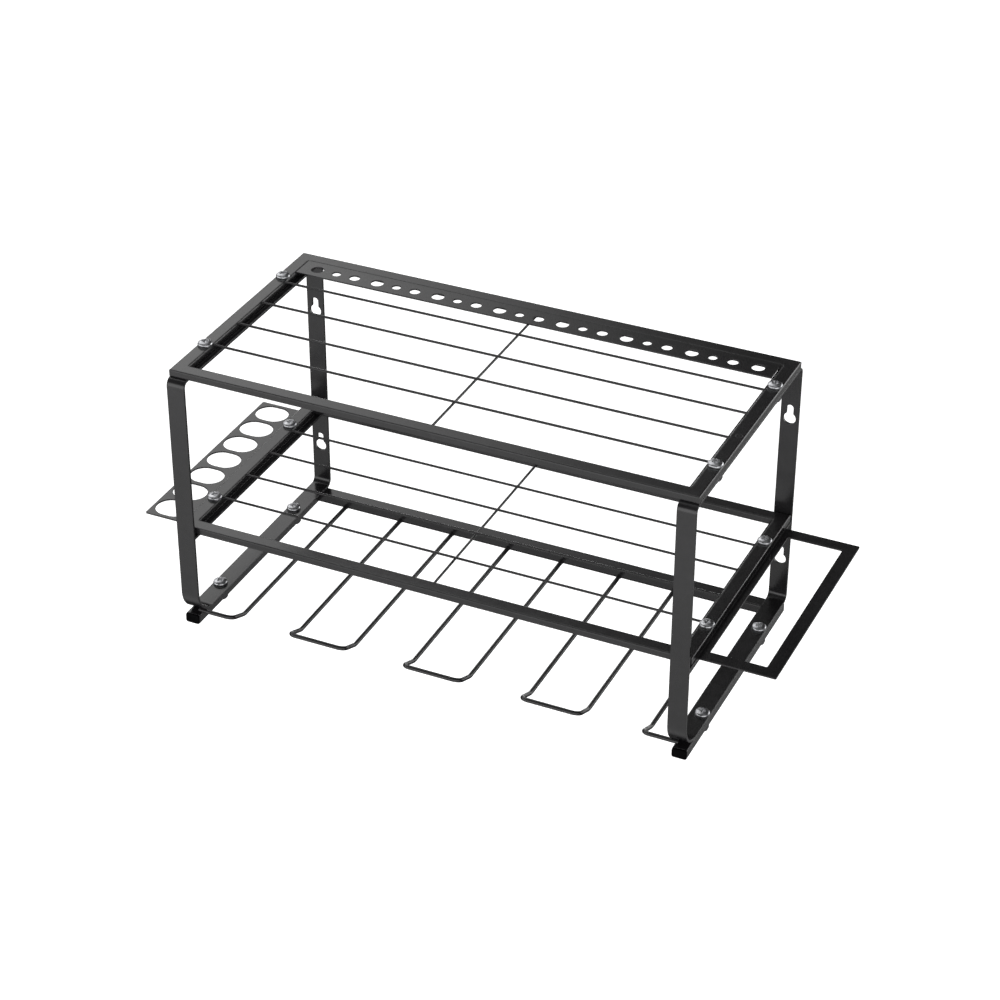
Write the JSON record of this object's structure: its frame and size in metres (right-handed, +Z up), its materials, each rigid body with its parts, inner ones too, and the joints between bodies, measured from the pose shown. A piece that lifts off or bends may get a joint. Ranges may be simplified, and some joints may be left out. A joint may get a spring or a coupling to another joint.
{
  "type": "wall mounted power tool organizer",
  "caption": "Black steel wall rack with two wire shelves, a row of drill slots between bent wire hooks, a socket plate on one side and a window rack on the other.",
  "frame": {"origin": "on the wall plane, at the centre of the four keyholes' round entries", "axes": "+Y into the wall, +X to the right along the wall seen from the front, +Z up"},
  "size_m": [0.5301, 0.224, 0.2388],
  "materials": {
    "black_steel": "satin black powder coat",
    "zinc_steel": "bright zinc plated",
    "black_oxide_steel": "dark chemically blackened",
    "black_plastic": "matt black moulded"
  },
  "bodies": {
    "root": {"top_front_rail": "black_steel", "top_rear_rail": "black_steel", "top_left_rail": "black_steel", "top_right_rail": "black_steel", "top_long_wires": "black_steel", "top_centre_wire": "black_steel", "middle_front_rail": "black_steel", "middle_rear_rail": "black_steel", "middle_left_rail": "black_steel", "middle_right_rail": "black_steel", "middle_long_wires": "black_steel", "middle_centre_wire": "black_steel", "top_bit_strip": "black_steel", "left_side_loop": "black_steel", "left_cross_strap": "black_steel", "right_side_loop": "black_steel", "right_cross_strap": "black_steel", "left_socket_plate": "black_steel", "right_tool_rack": "black_steel", "bottom_rear_rail": "black_steel", "bottom_left_rail": "black_steel", "bottom_right_rail": "black_steel", "drill_hook_1": "black_steel", "drill_hook_2": "black_steel", "drill_hook_3": "black_steel", "drill_hook_4": "black_steel", "drill_hook_5": "black_steel", "left_end_plug": "black_plastic", "right_end_plug": "black_plastic", "top_screws": "zinc_steel", "middle_screws": "zinc_steel", "bottom_screws": "zinc_steel", "top_nuts": "black_oxide_steel", "middle_nuts": "black_oxide_steel", "bottom_nuts": "black_oxide_steel"}
  },
  "joints": []
}
